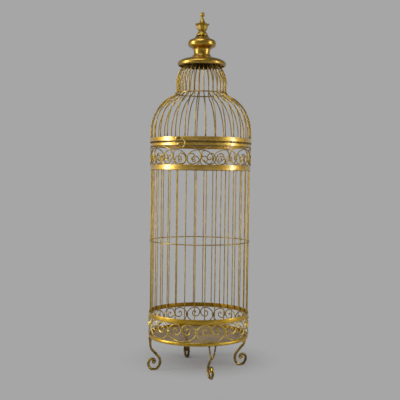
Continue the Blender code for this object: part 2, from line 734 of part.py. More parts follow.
def build_latch(material, lid, hook_pivot):
    """A bent hook with a ball end, swinging on a stud of the lid, and the stud under which it catches."""
    slope = math.tan(math.pi / RING_SEGMENTS)  # how fast a ring's flat falls back beside its corner
    neck_from = -HOOK_Y - HOOK_D / 2 - SEAT_GAP
    neck_to = -HOOK_Y + HOOK_D / 2 + SEAT_GAP
    seat = LID_R - (abs(PIVOT_X) - STUD_BASE_R) * slope + SEAT_GAP
    pivot = stud(seat, neck_from, neck_to, STUD_BASE_R, STUD_SHANK_R, STUD_HEAD_R)
    add("latch_pivot", facing_front(pivot, (PIVOT_X, 0, PIVOT_Z)), material, lid)

    neck_to = -HOOK_Y + HOOK_BALL_R
    keeper = stud(BODY_R + SEAT_GAP, neck_from, neck_to, STUD_BASE_R, KEEPER_NECK_R, KEEPER_HEAD_R)
    add("latch_keeper", facing_front(keeper, (PIVOT_X + KEEPER_X, 0, PIVOT_Z - KEEPER_DROP)), material)

    axis = Vector((PIVOT_X, HOOK_Y, PIVOT_Z))
    eye_r = STUD_SHANK_R + SEAT_GAP + HOOK_D / 2
    eye_turns = [2 * math.pi * i / HOOK_EYE_SEGMENTS for i in range(HOOK_EYE_SEGMENTS)]
    eye_points = [axis + Vector((eye_r * math.cos(turn), 0, eye_r * math.sin(turn))) for turn in eye_turns]
    run = [axis + Vector((HOOK_REACH * out, 0, HOOK_DROP * up)) for out, up in HOOK_SHARES]
    bm = bmesh.new()
    bmesh.ops.create_uvsphere(bm, u_segments=HOOK_BALL_SEGMENTS, v_segments=HOOK_BALL_RINGS,
                              radius=HOOK_BALL_R, matrix=Matrix.Translation(run[-1]))
    pieces = [wire(run, HOOK_D, 1), wire(eye_points, HOOK_D, 1, cyclic=True), mesh_of(bm, "ball")]
    add("latch_hook", welded(pieces, "latch_hook"), material, hook_pivot)


def build():
    clear_scene()
    brass = metal("antique_brass", (0.46, 0.30, 0.075), 0.32)
    wire_brass = metal("brass_wire", (0.40, 0.27, 0.085), 0.38)
    polished = metal("finial_brass", (0.50, 0.32, 0.07), 0.22)
    net = metal("floor_mesh_wire", (0.20, 0.14, 0.09), 0.55)
    lid = pivot_empty("lid_hinge_axis", (0, PIN_Y, PIN_Z))
    hook = pivot_empty("latch_axis", (PIVOT_X, HOOK_Y, PIVOT_Z), lid)

    build_hoop(brass)
    build_floor(net)
    build_feet(brass)
    build_frieze("lower_frieze", LOWER_FRIEZE_Z, LOWER_FRIEZE_H, LOWER_FRIEZE_START, True, wire_brass)
    lower = band(BODY_R, STRAP_T, LOWER_STRAP_Z, CAGE_Z, "lower_strap")
    add("lower_strap", lower, brass)
    build_bars(wire_brass)
    ring_r = BAR_R + BAR_D / 2 + SEAT_GAP + RING_D / 2
    ring_z = CAGE_Z + CAGE_CLEAR_H * MID_RING_SHARE
    ring = ring_wire(ring_r / FLAT_SHARE, ring_z, RING_D, RING_SEGMENTS, 0, "mid_ring")
    add("mid_ring", ring, wire_brass)
    upper = band(BODY_R, STRAP_T, UPPER_STRAP_Z, UPPER_FRIEZE_Z, "upper_strap")
    add("upper_strap", upper, brass)
    build_frieze("upper_frieze", UPPER_FRIEZE_Z, UPPER_FRIEZE_H, UPPER_FRIEZE_START, False, wire_brass)
    add("rim_strap", band(BODY_R, STRAP_T, RIM_Z, RIM_TOP_Z, "rim_strap"), brass)

    lid_strap = band(LID_R, STRAP_T, LID_Z, LID_Z + LID_STRAP_H, "lid_strap")
    add("lid_strap", lid_strap, brass, lid)
    build_ribs(wire_brass, lid)
    build_finial(polished, wire_brass, lid)
    build_hinge(brass, lid)
    build_latch(brass, lid, hook)


build()
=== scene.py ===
# The looks of a tall round birdcage in antique gold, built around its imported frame.
import math

import bmesh
import bpy
from mathutils import Matrix, Vector, noise


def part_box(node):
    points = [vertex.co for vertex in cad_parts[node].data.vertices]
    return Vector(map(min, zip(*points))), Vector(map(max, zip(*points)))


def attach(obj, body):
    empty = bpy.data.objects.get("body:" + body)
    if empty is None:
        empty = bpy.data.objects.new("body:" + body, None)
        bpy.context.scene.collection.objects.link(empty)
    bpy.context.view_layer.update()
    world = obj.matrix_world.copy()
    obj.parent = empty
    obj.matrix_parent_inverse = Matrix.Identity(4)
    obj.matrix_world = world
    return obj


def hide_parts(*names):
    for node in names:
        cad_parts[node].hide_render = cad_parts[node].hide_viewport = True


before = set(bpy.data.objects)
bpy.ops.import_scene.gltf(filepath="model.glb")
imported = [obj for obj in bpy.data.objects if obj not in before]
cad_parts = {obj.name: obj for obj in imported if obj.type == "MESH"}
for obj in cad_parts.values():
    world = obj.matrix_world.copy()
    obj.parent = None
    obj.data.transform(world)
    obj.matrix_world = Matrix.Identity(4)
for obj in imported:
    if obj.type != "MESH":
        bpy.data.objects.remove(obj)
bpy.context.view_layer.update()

mm = 0.001
tau = 2 * math.pi
noise.seed_set(7)  # without it the handmade bends would follow the clock and differ from run to run
print("frame loaded,", len(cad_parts), "nodes")


# Shader trees

class Mask:
    # wraps one socket of a shader tree, so that masks add and multiply as plain numbers do
    def __init__(self, tree, socket=None):
        self.tree = tree
        self.socket = socket

    def node(self, kind, settings=None, inputs=None, output=0):
        made = self.tree.nodes.new(kind)
        for key, value in (settings or {}).items():
            setattr(made, key, value)
        for key, value in (inputs or {}).items():
            if isinstance(value, Mask):
                self.tree.links.new(value.socket, made.inputs[key])
            else:
                made.inputs[key].default_value = value
        return Mask(self.tree, made.outputs[output])

    def feeds(self, shader, name):
        self.tree.links.new(self.socket, shader.inputs[name])

    def sum(self, operation, first, second):
        return self.node("ShaderNodeMath", {"operation": operation}, {0: first, 1: second})

    def __add__(self, other):
        return self.sum("ADD", self, other)

    def __radd__(self, other):
        return self.sum("ADD", other, self)

    def __sub__(self, other):
        return self.sum("SUBTRACT", self, other)

    def __rsub__(self, other):
        return self.sum("SUBTRACT", other, self)

    def __mul__(self, other):
        return self.sum("MULTIPLY", self, other)

    def __rmul__(self, other):
        return self.sum("MULTIPLY", other, self)

    def measured(self, operation, other):  # one number from two vectors
        return self.node("ShaderNodeVectorMath", {"operation": operation}, {0: self, 1: other}, "Value")

    def stretched(self, low, high):  # 0 below low, 1 above high and a soft step between
        limits = {0: self, 1: low, 2: high, 3: 0.0, 4: 1.0}
        return self.node("ShaderNodeMapRange", {"interpolation_type": "SMOOTHSTEP"}, limits)

    def blended(self, low, high):  # a colour from low to high
        return self.node("ShaderNodeMix", {"data_type": "RGBA"}, {0: self, 6: low, 7: high}, 2)

    def speckle(self, scale, detail, rough=0.55):
        inputs = {"Vector": self, "Scale": scale, "Detail": detail, "Roughness": rough}
        return self.node("ShaderNodeTexNoise", {}, inputs)


def newMaterial(name):
    made = bpy.data.materials.new(name)
    made.use_nodes = True
    tree = made.node_tree
    return made, Mask(tree), tree.nodes["Principled BSDF"]


def colour(red, green, blue):
    return (red, green, blue, 1.0)


def greyOf(level):
    return colour(level, level, level)


# Antique gold: bright leaf, thinner browner patches, long brushed streaks, dark wax at the welds with painted
# shade in the corners and along the strap gaps, and varnish over all
gilt = dict(
    light=colour(0.88, 0.58, 0.090), middle=colour(0.72, 0.425, 0.028), brown=colour(0.36, 0.195, 0.012),
    dark=colour(0.030, 0.017, 0.005), drawn=(1.0, 1.0, 7.0),
    cloud=24.0, cloudDetail=(4.0, 0.6), cloudSpan=(0.36, 0.66),
    patch=110.0, patchDetail=(4.0, 0.65), patchSpan=(0.42, 0.70), patches=0.45,
    swathe=22.0, swatheDetail=(3.0, 0.6), swatheSpan=(0.38, 0.64), swathes=0.45,
    brush=300.0, brushDetail=(2.0, 0.6), streaks=0.34, grain=1500.0, grainDetail=2.0,
    waxAndShade=0.90, waxAndShadeFrom=0.10, waxAndShadeTo=0.70, waxAndShadeDull=0.45, waxAndShadeUnvarnished=0.9, reach=5 * mm, samples=6,
    seam=0.9, seamFrom=0.4 * mm, seamTo=4 * mm, seamEven=0.45, seamPatchy=0.55,
    inside=0.0, insideSpan=(0.3, 0.9),
    rough=0.27, roughPatch=0.12, roughBrush=0.18, roughSwathe=0.06, roughWaxAndShade=0.35, roughShadedInside=0.2,
    bump=0.55, relief=0.35 * mm, cloudDepth=0.7, patchDepth=0.5, grainDepth=0.35, brushDepth=0.3,
    varnish=1.0, varnishRough=0.20, varnishIor=1.85)


def giltFinish(name, look, seams=(), latchWearAndShadow=None):
    made, start, shader = newMaterial(name)
    place = start.node("ShaderNodeTexCoord", {}, {}, "Object")
    drawn = place.node("ShaderNodeMapping", {}, {"Vector": place, "Scale": look["drawn"]})
    cloud = place.speckle(look["cloud"], *look["cloudDetail"]).stretched(*look["cloudSpan"])
    patch = place.speckle(look["patch"], *look["patchDetail"]).stretched(*look["patchSpan"])
    swathe = drawn.speckle(look["swathe"], *look["swatheDetail"]).stretched(*look["swatheSpan"])
    brush = drawn.speckle(look["brush"], *look["brushDetail"])
    streak = brush - 0.5
    grain = place.speckle(look["grain"], look["grainDetail"])

    # painted shade: what faces the middle of the cage is painted browner and duller
    facing = start.node("ShaderNodeTexCoord", {}, {}, "Normal")
    outward = place.node("ShaderNodeVectorMath", {"operation": "MULTIPLY"}, {0: place, 1: (1.0, 1.0, 0.0)})
    outward = outward.node("ShaderNodeVectorMath", {"operation": "NORMALIZE"}, {0: outward})
    turned = facing.measured("DOT_PRODUCT", outward)
    inside = (0.0 - turned).stretched(*look["insideSpan"]) * look["inside"]

    # painted shade and dark wax: the occlusion darkens the corners, the seams darken along the strap gaps and
    # at the welds, and a brown patch round the latch pivot stands for handling wear and the hook's painted
    # shadow
    shade = start.node("ShaderNodeAmbientOcclusion", {"samples": look["samples"], "only_local": True},
                       {"Distance": look["reach"]}, "AO")
    waxAndShadeMask = (1.0 - shade).stretched(look["waxAndShadeFrom"], look["waxAndShadeTo"])
    height = place.node("ShaderNodeSeparateXYZ", {}, {0: place}, "Z")
    for level in seams:
        gap = height.node("ShaderNodeMath", {"operation": "ABSOLUTE"}, {0: height - level})
        near = 1.0 - gap.stretched(look["seamFrom"], look["seamTo"])
        near = near * (look["seamEven"] + patch * look["seamPatchy"]) * (1.0 - inside)
        waxAndShadeMask = waxAndShadeMask.sum("MAXIMUM", waxAndShadeMask, near * look["seam"])
    # painted shadow of the hook, with handling wear, round the latch pivot
    if latchWearAndShadow:
        ragged = place.measured("DISTANCE", latchWearAndShadow) + (cloud - 0.5) * look["latchWearAndShadowFrom"]
        latchWearAndShadowMask = 1.0 - ragged.stretched(look["latchWearAndShadowFrom"], look["latchWearAndShadowTo"])
        waxAndShadeMask = waxAndShadeMask.sum("MAXIMUM", waxAndShadeMask, latchWearAndShadowMask * look["latchWearAndShadow"])
    waxAndShadeCover = waxAndShadeMask * look["waxAndShade"]

    worn = cloud.blended(look["middle"], look["light"])
    agedAndShaded = (inside + patch * look["patches"]).blended(worn, look["brown"])
    brushed = (swathe * look["swathes"]).blended(agedAndShaded, look["brown"])
    streaked = (streak * 2.0 * look["streaks"]).blended(brushed, look["brown"])
    waxAndShadeCover.blended(streaked, look["dark"]).feeds(shader, "Base Color")
    rough = look["rough"] + patch * look["roughPatch"] + streak * look["roughBrush"]
    rough = rough + swathe * look["roughSwathe"] + waxAndShadeMask * look["roughWaxAndShade"] + inside * look["roughShadedInside"]
    rough.feeds(shader, "Roughness")
    (1.0 - waxAndShadeCover * look["waxAndShadeDull"]).feeds(shader, "Metallic")
    varnish = (1.0 - waxAndShadeMask * look["waxAndShadeUnvarnished"]) * (1.0 - inside) * look["varnish"]
    varnish.feeds(shader, "Coat Weight")
    shader.inputs["Coat Roughness"].default_value = look["varnishRough"]
    shader.inputs["Coat IOR"].default_value = look["varnishIor"]
    relief = cloud * look["cloudDepth"] + patch * look["patchDepth"] + grain * look["grainDepth"]
    relief = relief + brush * look["brushDepth"]
    bump = start.node("ShaderNodeBump", {}, {"Strength": look["bump"], "Distance": look["relief"],
                                             "Height": relief})
    bump.feeds(shader, "Normal")
    return made


def heightsOf(*nodes):  # the heights at which these nodes start and end
    return [corner.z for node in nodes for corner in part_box(node)]


# The straps' inner faces are painted in shade, painted shadow lines run along the gap between the lid and rim
# straps and a little below the rim strap's lower edge, and the straps are browned round the latch, for wear
# and the hook's painted shadow
strapLook = {**gilt, "rough": 0.37, "dark": colour(0.012, 0.007, 0.003), "waxAndShade": 1.0, "inside": 0.7,
             "seam": 2.0, "seamFrom": 0.5 * mm, "seamTo": 2.2 * mm, "rimSeam": 0.8 * mm, "latchWearAndShadow": 0.62,
             "latchWearAndShadowFrom": 5 * mm, "latchWearAndShadowTo": 14 * mm}
strapGold = giltFinish("strapGold", strapLook,
                       [heightsOf("lid_strap")[0], heightsOf("rim_strap")[1],
                        heightsOf("rim_strap")[0] - strapLook["rimSeam"]],
                       (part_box("latch_pivot")[0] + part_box("latch_pivot")[1]) / 2)
baseGold = giltFinish("baseGold", {
    **strapLook, "light": colour(0.78, 0.51, 0.070), "middle": colour(0.62, 0.38, 0.022), "varnish": 0.28,
    "varnishIor": 1.6})
# Painted shade: the rib cap, which lies in the dark under the skirt, is painted near black
shadowBlack = giltFinish("shadowBlack", {
    **gilt, "light": colour(0.05, 0.03, 0.010), "middle": colour(0.03, 0.018, 0.006),
    "brown": colour(0.015, 0.010, 0.004), "varnish": 0.0})

wireLook = {**gilt, "light": colour(0.60, 0.41, 0.072), "middle": colour(0.38, 0.24, 0.028),
            "brown": colour(0.14, 0.080, 0.010), "cloud": 60.0, "patch": 170.0, "patches": 0.30,
            "drawn": (1.0, 1.0, 0.25), "swathe": 60.0, "swathes": 0.24, "streaks": 0.2, "rough": 0.29,
            "reach": 3 * mm, "bump": 0.35, "relief": 0.2 * mm, "varnish": 0.5, "varnishIor": 1.5}
barGold = giltFinish("barGold", wireLook, [heightsOf("lower_strap")[1], heightsOf("upper_strap")[0]])
scrollGold = giltFinish("scrollGold", wireLook, heightsOf("upper_frieze"))
# Painted light: a lighter copy of the scroll finish for the lower frieze, whose tops the lamps catch, with
# its inner faces in painted shade
litScrollGold = giltFinish("litScrollGold", {
    **wireLook, "light": colour(0.88, 0.64, 0.140), "middle": colour(0.74, 0.495, 0.065),
    "brown": colour(0.24, 0.140, 0.018), "patches": 0.3, "inside": 0.85}, heightsOf("lower_frieze"))
# Painted shade: the ribs darken for 13 mm from their weld on the lid strap and from the cap, where the skirt
# shades them
ribGold = giltFinish("ribGold", {
    **wireLook, "light": colour(0.55, 0.365, 0.050), "middle": colour(0.34, 0.21, 0.020), "seam": 1.2,
    "seamTo": 13 * mm}, [heightsOf("lid_strap")[1], heightsOf("rib_cap")[0]])

footGold = giltFinish("footGold", {
    **gilt, "light": colour(0.80, 0.53, 0.075), "middle": colour(0.30, 0.185, 0.022),
    "brown": colour(0.035, 0.020, 0.005), "cloud": 60.0, "patches": 0.9, "drawn": (1.0, 1.0, 1.0),
    "swathe": 40.0, "rough": 0.26, "seam": 0.4, "varnish": 0.4, "varnishIor": 1.5},
    heightsOf("base_hoop")[:1])
shadedFootGold = giltFinish("shadedFootGold", {  # painted shade: the foot behind, darker as it stands in the cage's shadow
    **gilt, "light": colour(0.24, 0.145, 0.018), "middle": colour(0.08, 0.045, 0.006),
    "brown": colour(0.014, 0.008, 0.003), "cloud": 60.0, "patches": 0.9, "rough": 0.34, "varnish": 0.1,
    "varnishIor": 1.5}, heightsOf("base_hoop")[:1])

finialGold = giltFinish("finialGold", {
    **gilt, "light": colour(0.60, 0.385, 0.040), "middle": colour(0.53, 0.305, 0.018),
    "brown": colour(0.23, 0.120, 0.007), "cloud": 30.0, "patch": 75.0, "patches": 0.6,
    "drawn": (1.0, 1.0, 3.0), "rough": 0.30, "reach": 9 * mm, "bump": 0.45, "relief": 0.5 * mm,
    "varnish": 0.6, "varnishIor": 1.6}, heightsOf("finial_knob")[:1])
crownGold = giltFinish("crownGold", {
    **gilt, "light": colour(0.46, 0.315, 0.046), "middle": colour(0.38, 0.240, 0.024),
    "brown": colour(0.20, 0.115, 0.009), "cloud": 45.0, "patches": 0.22, "drawn": (1.0, 1.0, 1.0),
    "swathes": 0.2, "streaks": 0.2, "waxAndShade": 0.6, "reach": 3 * mm, "rough": 0.40, "bump": 0.25,
    "varnish": 0.35, "varnishIor": 1.5})
hardwareGold = giltFinish("hardwareGold", {
    **gilt, "light": colour(0.74, 0.53, 0.13), "middle": colour(0.50, 0.33, 0.05),
    "brown": colour(0.20, 0.115, 0.010), "cloud": 120.0, "patch": 400.0, "drawn": (1.0, 1.0, 1.0),
    "swathes": 0.2, "reach": 2 * mm, "relief": 0.12 * mm})


# Brown-grey welded mesh, dulled and dusty
meshLook = dict(brown=colour(0.26, 0.165, 0.054), pale=colour(0.44, 0.29, 0.100), cloud=26.0,
                cloudDetail=4.0, cloudSpan=(0.35, 0.68), grain=900.0, grainDetail=3.0, rough=0.45,
                roughCloud=0.15, metal=0.55, metalGrain=0.2, bump=0.5, relief=0.08 * mm)


def meshFinish(name, look):
    made, start, shader = newMaterial(name)
    place = start.node("ShaderNodeTexCoord", {}, {}, "Object")
    cloud = place.speckle(look["cloud"], look["cloudDetail"]).stretched(*look["cloudSpan"])
    grain = place.speckle(look["grain"], look["grainDetail"])
    cloud.blended(look["brown"], look["pale"]).feeds(shader, "Base Color")
    (look["rough"] + cloud * look["roughCloud"]).feeds(shader, "Roughness")
    (look["metal"] + grain * look["metalGrain"]).feeds(shader, "Metallic")
    bump = start.node("ShaderNodeBump", {}, {"Strength": look["bump"], "Distance": look["relief"],
                                             "Height": grain})
    bump.feeds(shader, "Normal")
    return made


floorWire = meshFinish("floorWire", meshLook)
print("finishes made")


# Shapes that several pieces share

def around(radius, angle, z):  # the angle is counted from the latch towards +X
    return Vector((radius * math.sin(angle), -radius * math.cos(angle), z))


def smooth(points, steps):  # a curve through all the points
    run = []
    last = len(points) - 1
    for i in range(last):
        before, here = points[max(i - 1, 0)], points[i]
        there, after = points[i + 1], points[min(i + 2, last)]
        for step in range(steps):
            t = step / steps
            run.append(0.5 * (2 * here + (there - before) * t
                              + (2 * before - 5 * here + 4 * there - after) * t * t
                              + (3 * here - before - 3 * there + after) * t ** 3))
    run.append(points[-1])
    return run


def placed(shares, inner, outer, low, high):  # shares of a width and a height, as radii and heights
    return [Vector((inner + (outer - inner) * out, low + (high - low) * up)) for out, up in shares]


def handmade(point, size, scale=22.0):  # a little off true, as bent by hand
    return point + noise.noise_vector(point * scale) * size


def fullTurn(bm, geom, steps):
    bmesh.ops.spin(bm, geom=geom, axis=(0, 0, 1), cent=(0, 0, 0), angle=tau, steps=steps, use_merge=True)


def lathe(bm, profile, steps, closed=False):  # the profile is radii and heights
    points = [bm.verts.new((0, -radius, z)) for radius, z in profile]
    edges = [bm.edges.new(pair) for pair in zip(points, points[1:])]
    if closed:
        edges.append(bm.edges.new((points[-1], points[0])))
    fullTurn(bm, points + edges, steps)


# A flat ring with softened edges, in an empty bmesh
def roundedBand(bm, inner, outer, low, high, edge, steps):
    outline = ((inner, low), (outer, low), (outer, high), (inner, high))
    corners = [bm.verts.new((0, -radius, z)) for radius, z in outline]
    bm.faces.new(corners)
    bmesh.ops.bevel(bm, geom=corners, offset=edge, segments=3, profile=0.5, affect="VERTICES", material=-1)
    bmesh.ops.delete(bm, geom=bm.faces[:], context="FACES_ONLY")
    fullTurn(bm, bm.verts[:] + bm.edges[:], steps)


def bead(bm, place, radius, flat=1.0, turn=0.0):  # a small drop of weld, or a rivet's head
    turned = Matrix.Translation(place) @ Matrix.Rotation(turn, 4, "Z")
    bmesh.ops.create_uvsphere(bm, u_segments=10, v_segments=6, radius=radius,
                              matrix=turned @ Matrix.Diagonal((1.0, flat, 1.0, 1.0)))


def ball(bm, place, radius, sides, rows):
    bmesh.ops.create_uvsphere(bm, u_segments=sides, v_segments=rows, radius=radius,
                              matrix=Matrix.Translation(place))


def bendWires(bm, runs, radius, sides=12, ring=False):  # round wire along each run of points
    curve = bpy.data.curves.new("bending", "CURVE")
    curve.dimensions = "3D"
    curve.bevel_depth = radius
    curve.bevel_resolution = (sides - 4) // 2
    curve.use_fill_caps = True
    for run in runs:
        spline = curve.splines.new("POLY")
        spline.points.add(len(run) - 1)
        for i, point in enumerate(run):
            spline.points[i].co = (*point, 1.0)
        spline.use_cyclic_u = ring
    helper = bpy.data.objects.new("bending", curve)
    bpy.context.scene.collection.objects.link(helper)
    bpy.context.view_layer.update()
    bent = bpy.data.meshes.new_from_object(helper.evaluated_get(bpy.context.evaluated_depsgraph_get()))
    bpy.data.objects.remove(helper)
    bm.from_mesh(bent)


def ringRun(radius, z, count):
    return [around(radius, tau * i / count, z) for i in range(count)]


# Doubles and slivers under these sizes go, and edges sharper than the angle in degrees stay sharp
meshing = dict(double=0.0005 * mm, sliver=0.0002 * mm, sharp=42)


def finished(name, bm, finish, body, nodes, sharp=meshing["sharp"]):
    bmesh.ops.remove_doubles(bm, verts=bm.verts, dist=meshing["double"])
    bmesh.ops.dissolve_degenerate(bm, edges=bm.edges, dist=meshing["sliver"])
    bmesh.ops.recalc_face_normals(bm, faces=bm.faces)
    mesh = bpy.data.meshes.new(name)
    bm.to_mesh(mesh)
    bm.free()
    mesh.materials.append(finish)
    mesh.shade_smooth()
    mesh.set_sharp_from_angle(angle=math.radians(sharp))
    piece = bpy.data.objects.new(name, mesh)
    bpy.context.scene.collection.objects.link(piece)
    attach(piece, body)
    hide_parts(*nodes)
    print(name, len(mesh.polygons), "faces")
    return piece


# Base hoop: half-oval bar, round side out
hoop = dict(wall=3.0 * mm, fullness=0.72, steps=192, points=16, wander=0.12 * mm, wanderScale=14.0)


def makeHoop():
    low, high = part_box("base_hoop")
    inner = high.x - hoop["wall"]
    middle, half = (low.z + high.z) / 2, (high.z - low.z) / 2
    profile = []
    for i in range(hoop["points"] + 1):
        turn = math.pi * (i / hoop["points"] - 0.5)
        out = hoop["wall"] * max(math.cos(turn), 0.0) ** hoop["fullness"]
        profile.append((inner + out, middle + half * math.sin(turn)))
    bm = bmesh.new()
    lathe(bm, profile, hoop["steps"], closed=True)
    for point in bm.verts:
        point.co = handmade(point.co, hoop["wander"], hoop["wanderScale"])
    finished("hoopRing", bm, baseGold, "cage", ["base_hoop"])


# Straps: flat strip rolled into a ring, its edges eased and its face a little uneven. The lid strap's lower
# edge hangs low, and lowest towards the hinge.
strap = dict(wall=1.5 * mm, edge=0.42 * mm, steps=176, wave=0.16 * mm, waveScale=26.0, lidSag=2.1 * mm,
             sagFront=0.55, sagBack=0.45, sagTurn=0.35)


def makeStrap(name, node, body, finish, sag=0.0):
    low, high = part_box(node)
    bm = bmesh.new()
    roundedBand(bm, high.x - strap["wall"], high.x, low.z, high.z, strap["edge"], strap["steps"])
    for point in bm.verts:
        out = Vector((point.co.x, point.co.y, 0.0)).normalized()
        below = (high.z - point.co.z) / (high.z - low.z)
        behind = min(max(out.y + strap["sagTurn"], 0.0), 1.0)
        share = strap["sagFront"] + strap["sagBack"] * behind * behind * (3 - 2 * behind)
        point.co.z -= sag * below * share
        point.co -= out * strap["wave"] * (1.0 + noise.noise(point.co * strap["waveScale"]))
    finished(name, bm, finish, body, [node])


# Friezes: a ring of double scrolls, each wound from one wire and collared to the next
frieze = dict(wire=3.2 * mm, units=11, bowl=0.50, eyeSide=0.406, eyeHeight=0.66, end=0.068, wide=0.14,
              flat=0.34, start=math.radians(8.15), sweep=math.radians(528), bowlSteps=14, curlSteps=64,
              eyeBead=2.1 * mm, twinBead=0.56, beadFlat=0.9, weld=1.9 * mm, weldFlat=0.8, wander=0.35 * mm,
              lowerTurn=math.radians(3.0), upperTurn=math.radians(5.8))


def scrollHalf():  # shares of half the pitch and of the height, from the bottom of the bowl to the eye
    steps = frieze["bowlSteps"]
    run = []
    for i in range(steps + 1):
        turn = math.pi / 2 * i / steps
        run.append((math.sin(turn), frieze["bowl"] * (1 - math.cos(turn))))
    curl = []
    for i in range(frieze["curlSteps"] + 1):
        t = i / frieze["curlSteps"]
        size = frieze["end"] + (1 - frieze["end"]) * (1 - t)
        turn = frieze["sweep"] * t - frieze["start"]
        outer = (1 - t) ** 3
        curl.append((size * (1 + frieze["wide"] * outer) * math.cos(turn),
                     size * (1 - frieze["flat"] * outer) * math.sin(turn)))
    across = (1 - frieze["eyeSide"]) / ((1 + frieze["wide"]) * math.cos(frieze["start"]))
    rise = (1 - frieze["eyeHeight"]) / max(up for side, up in curl)
    return run + [(frieze["eyeSide"] + across * side, frieze["eyeHeight"] + rise * up) for side, up in curl]


def makeFrieze(name, node, startTurn, upright, finish):
    low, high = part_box(node)
    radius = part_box("lower_strap")[1].x - strap["wall"] / 2
    wire = frieze["wire"]
    bottom, height = low.z + wire / 2, high.z - low.z - wire
    halfPitch = math.pi / frieze["units"]
    room = halfPitch - wire / 2 / radius
    half = scrollHalf()
    curl = half[frieze["bowlSteps"] + 1:]
    twin = min(curl)[1]  # where a scroll's two halves come closest
    crest = max(curl, key=lambda point: point[1])
    touch = (frieze["bowl"] + curl[0][1]) / 2  # where it meets its neighbours

    def place(middle, share, up):
        return around(radius, middle + share * room, bottom + height * (up if upright else 1 - up))

    bm = bmesh.new()
    runs = []
    for unit in range(frieze["units"]):
        middle = startTurn + 2 * halfPitch * unit
        line = [(-share, up) for share, up in reversed(half)] + half[1:]
        runs.append([handmade(place(middle, share, up), frieze["wander"]) for share, up in line])
        for end in (runs[-1][0], runs[-1][-1]):
            bead(bm, end, frieze["eyeBead"], frieze["beadFlat"], middle)
        between = handmade(place(middle, 0.0, twin), frieze["wander"])
        bead(bm, between, wire * frieze["twinBead"], frieze["beadFlat"], middle)
        bead(bm, place(middle, 0.0, 0.0), frieze["weld"], frieze["weldFlat"], middle)
        for way in (-1, 1):
            bead(bm, place(middle, way * crest[0], crest[1]), frieze["weld"], frieze["weldFlat"], middle)
        wrap(bm, handmade(place(middle + halfPitch, 0.0, touch), frieze["wander"]), middle + halfPitch)
    bendWires(bm, runs, wire / 2)
    finished(name, bm, finish, "cage", [node])


# Collars: a strip wrapped round two wires that lie side by side, drawn in at its edges
collar = dict(height=5.0 * mm, grow=0.7 * mm, square=0.6, sides=20,
              levels=((0.86, -1.0), (1.0, -0.8), (1.03, 0.0), (1.0, 0.8), (0.86, 1.0)))


def wrap(bm, place, turn):
    wide, deep = frieze["wire"] + collar["grow"], frieze["wire"] / 2 + collar["grow"]
    turned = Matrix.Translation(place) @ Matrix.Rotation(turn, 4, "Z")
    outline = []
    for i in range(collar["sides"]):
        at = tau * i / collar["sides"]
        across, out = math.cos(at), math.sin(at)
        outline.append(Vector((wide * math.copysign(abs(across) ** collar["square"], across),
                               deep * math.copysign(abs(out) ** collar["square"], out), 0.0)))
    loops = []
    for size, level in collar["levels"]:
        z = collar["height"] / 2 * level
        loop = [Vector((point.x * size, point.y * size, z)) for point in outline]
        loops.append([bm.verts.new(turned @ point) for point in loop])
    rings = [[bm.edges.new(pair) for pair in zip(loop, loop[1:] + loop[:1])] for loop in loops]
    for lower, upper in zip(rings, rings[1:]):
        bmesh.ops.bridge_loops(bm, edges=lower + upper)
    bm.faces.new(loops[0])
    bm.faces.new(loops[-1])


# Bars: drawn wire, lapped and welded behind the straps
bars = dict(wire=3.0 * mm, count=32, steps=14, bow=0.45 * mm, bowScale=9.0, weld=2.1 * mm, weldFlat=0.85)


def makeBars():
    bm = bmesh.new()
    runs = []
    strapTop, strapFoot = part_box("lower_strap")[1].z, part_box("upper_strap")[0].z
    for i in range(bars["count"]):
        low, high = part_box(f"bar_{i + 1:02d}")
        middle = (low + high) / 2
        run = []
        for step in range(bars["steps"] + 1):
            t = step / bars["steps"]
            slack = math.sin(math.pi * t) * bars["bow"]
            point = Vector((middle.x, middle.y, low.z + (high.z - low.z) * t))
            run.append(handmade(point, slack, bars["bowScale"]))
        runs.append(run)
        turn = math.atan2(middle.x, -middle.y)
        for level in (strapTop, strapFoot):
            bead(bm, (middle.x, middle.y, level), bars["weld"], bars["weldFlat"], turn)
    bendWires(bm, runs, bars["wire"] / 2)
    finished("cageBars", bm, barGold, "cage", [f"bar_{i + 1:02d}" for i in range(bars["count"])])


# Middle ring: wire round the outside of the bars, welded to each. Out and weldIn are shares of their wire.
midRing = dict(out=0.94, weldIn=0.42, steps=128, wander=0.3 * mm, wanderScale=12.0)


def makeMidRing():
    low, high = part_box("mid_ring")
    level = (low.z + high.z) / 2
    places = [(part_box(f"bar_{i + 1:02d}")[0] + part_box(f"bar_{i + 1:02d}")[1]) / 2
              for i in range(bars["count"])]
    radius = math.hypot(places[0].x, places[0].y) + bars["wire"] * midRing["out"]
    run = [handmade(point, midRing["wander"], midRing["wanderScale"])
           for point in ringRun(radius, level, midRing["steps"])]
    bm = bmesh.new()
    bendWires(bm, [run], bars["wire"] / 2, ring=True)
    for bar in places:
        turn = math.atan2(bar.x, -bar.y)
        bead(bm, around(radius - bars["wire"] * midRing["weldIn"], turn, level), bars["weld"], 1.0, turn)
    finished("midRing", bm, barGold, "cage", ["mid_ring"])


# Floor: welded square mesh, cut round and edged with a flat rim
floor = dict(pitch=5.5 * mm, wire=1.0 * mm, sides=6, rim=3.5 * mm, edge=0.3 * mm, steps=160)


